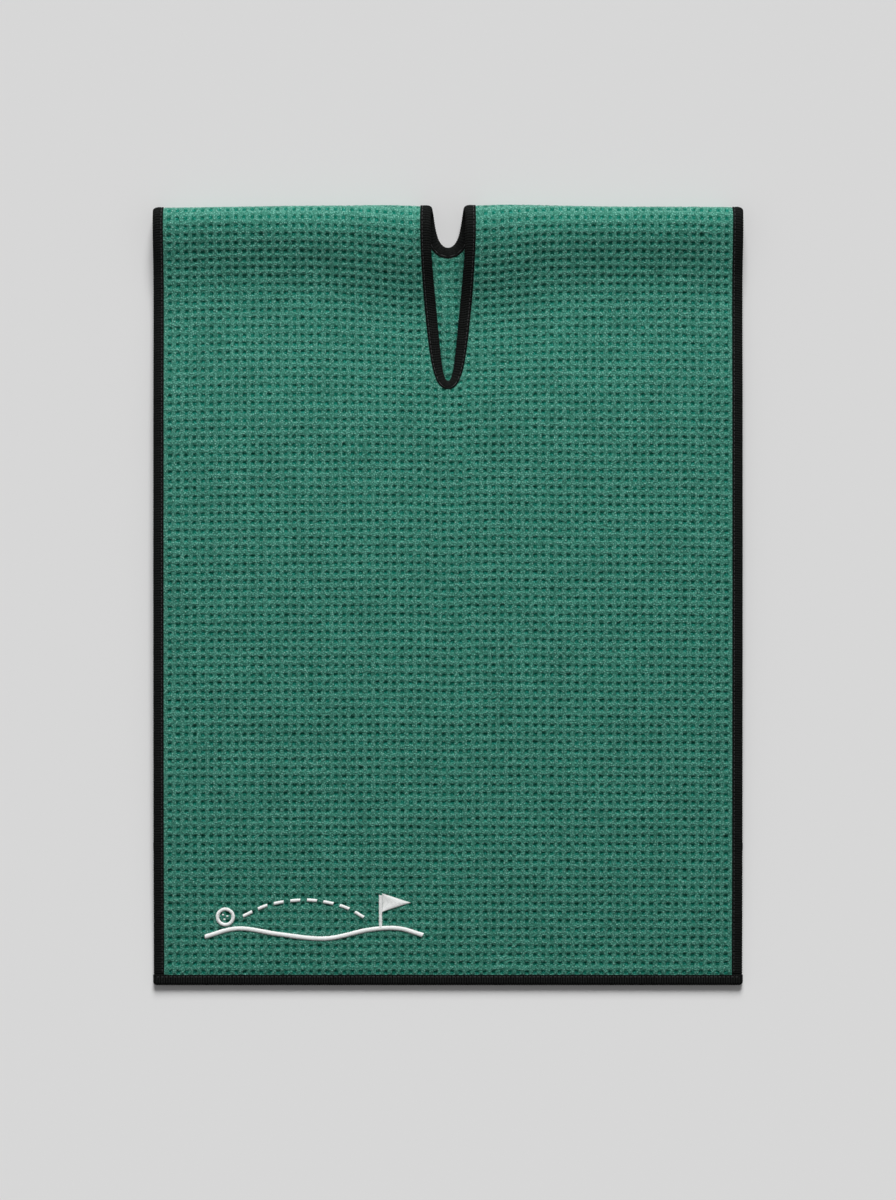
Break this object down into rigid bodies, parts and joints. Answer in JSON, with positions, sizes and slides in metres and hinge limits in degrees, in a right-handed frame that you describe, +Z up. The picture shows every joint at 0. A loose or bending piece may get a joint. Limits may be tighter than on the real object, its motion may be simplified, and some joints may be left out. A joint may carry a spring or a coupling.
{
  "type": "golf towel",
  "caption": "Waffle-weave golf towel with black bound edges and a bound centre slit, folded double at the slit and lying flat; the front leaf opens from the back leaf.",
  "frame": {"origin": "under the middle of the folded towel's outline, on the surface that it lies on", "axes": "+Z up out of the cloth, +Y from the hems towards the fold, +X across the towel"},
  "size_m": [0.4068, 0.537, 0.0185],
  "materials": {
    "waffle_cloth": "matte green waffle microfibre with a fine nap",
    "binding_tape": "black ribbed woven polyester tape, low sheen",
    "seam_thread": "black polyester sewing thread",
    "embroidery_thread": "white embroidery thread in satin stitch, soft sheen",
    "embroidery_backing": "black non-woven tear-away backing, matte"
  },
  "bodies": {
    "back_leaf": {"cloth_back_leaf": "waffle_cloth", "side_binding_left_back": "binding_tape", "side_binding_right_back": "binding_tape", "hem_binding_back": "binding_tape", "slit_binding_back": "binding_tape", "stitching_left_back": "seam_thread", "stitching_right_back": "seam_thread", "stitching_hem_back": "seam_thread", "stitching_slit_back": "seam_thread", "cloth_fold_left": "waffle_cloth", "cloth_fold_right": "waffle_cloth", "side_binding_left_fold": "binding_tape", "side_binding_right_fold": "binding_tape", "slit_binding_fold_left": "binding_tape", "slit_binding_fold_right": "binding_tape", "stitching_left_fold": "seam_thread", "stitching_right_fold": "seam_thread", "stitching_slit_fold": "seam_thread"},
    "front_leaf": {"cloth_front_leaf": "waffle_cloth", "side_binding_left_front": "binding_tape", "side_binding_right_front": "binding_tape", "hem_binding_front": "binding_tape", "slit_binding_front": "binding_tape", "stitching_left_front": "seam_thread", "stitching_right_front": "seam_thread", "stitching_hem_front": "seam_thread", "stitching_slit_front": "seam_thread", "embroidery_motif": "embroidery_thread", "embroidery_backing": "embroidery_backing"}
  },
  "joints": [
    {"name": "front_leaf_open", "type": "hinge", "parent": "back_leaf", "child": "front_leaf", "pos_m": [0, 0.2645, 0.00315], "axis": [-1, 0, 0], "range_deg": [0, 179.9], "deforming": ["cloth_fold_left", "cloth_fold_right", "side_binding_left_fold", "side_binding_right_fold", "slit_binding_fold_left", "slit_binding_fold_right", "stitching_left_fold", "stitching_right_fold", "stitching_slit_fold"]}
  ]
}
